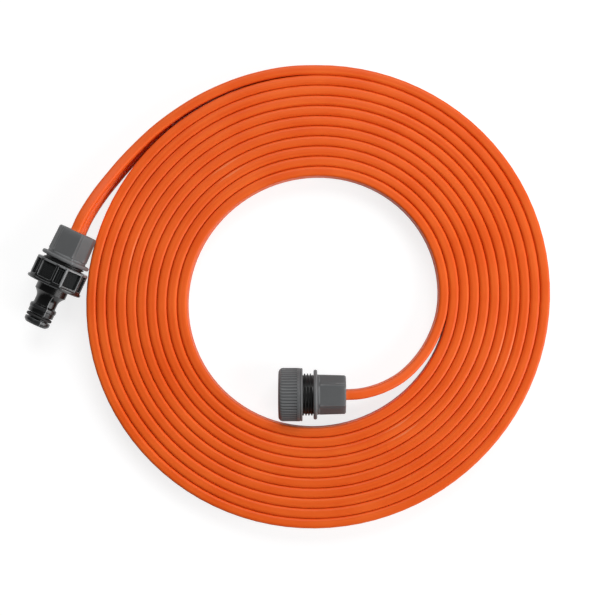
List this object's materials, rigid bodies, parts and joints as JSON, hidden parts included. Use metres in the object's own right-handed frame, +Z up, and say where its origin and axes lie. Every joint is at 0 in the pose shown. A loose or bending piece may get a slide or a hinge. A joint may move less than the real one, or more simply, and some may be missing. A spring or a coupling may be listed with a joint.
{
  "type": "soaker hose",
  "caption": "Flat multi-channel soaker hose wound on edge into a spiral, with a threaded quick-connect inlet and a threaded outlet closed by a ribbed end cap.",
  "frame": {"origin": "on the floor, under the middle of the bounding box", "axes": "+Z up, square to the floor that the coil lies on; +X from the inlet's side of the coil to the other, along the outlet cap's axis and against the way it points; +Y across"},
  "size_m": [0.3282, 0.29, 0.0364],
  "materials": {
    "hose_orange": "soft satin",
    "fitting_grey": "fine moulded grain",
    "fitting_black": "satin",
    "rubber_black": "matt"
  },
  "bodies": {
    "hose": {"hose_coil": "hose_orange", "hose_inlet_run": "hose_orange", "hose_outlet_run": "hose_orange", "hose_inlet_end": "hose_orange", "hose_outlet_end": "hose_orange", "inlet_nipple": "fitting_black", "inlet_clamp_sleeve": "fitting_grey", "outlet_nipple": "fitting_black", "outlet_clamp_sleeve": "fitting_grey"},
    "inlet_seal": {"inlet_gasket": "rubber_black"},
    "adapter": {"inlet_adapter": "fitting_black", "nose_sealing_ring": "rubber_black"},
    "outlet_seal": {"outlet_gasket": "rubber_black"},
    "cap": {"outlet_cap": "fitting_grey"}
  },
  "joints": [
    {"name": "adapter_travel", "type": "slide", "parent": "hose", "child": "inlet_seal", "axis": [-0.421, -0.907, 0], "range_m": [0, 0.0091]},
    {"name": "adapter_turn", "type": "hinge", "parent": "inlet_seal", "child": "adapter", "pos_m": [-0.14003, 0.01978, 0.0187], "axis": [-0.421, -0.907, 0], "range_deg": [0, 1800]},
    {"name": "cap_travel", "type": "slide", "parent": "hose", "child": "outlet_seal", "axis": [-1, 0, 0], "range_m": [-0.00528, 0.00456]},
    {"name": "cap_turn", "type": "hinge", "parent": "outlet_seal", "child": "cap", "pos_m": [0.00935, -0.0611, 0.0177], "axis": [-1, 0, 0], "range_deg": [-1044, 900]}
  ],
  "couplings": [
    {"joint": "adapter_travel", "follows": "adapter_turn", "m_per_rad": 0.00028871},
    {"joint": "cap_travel", "follows": "cap_turn", "m_per_rad": 0.00028871}
  ]
}
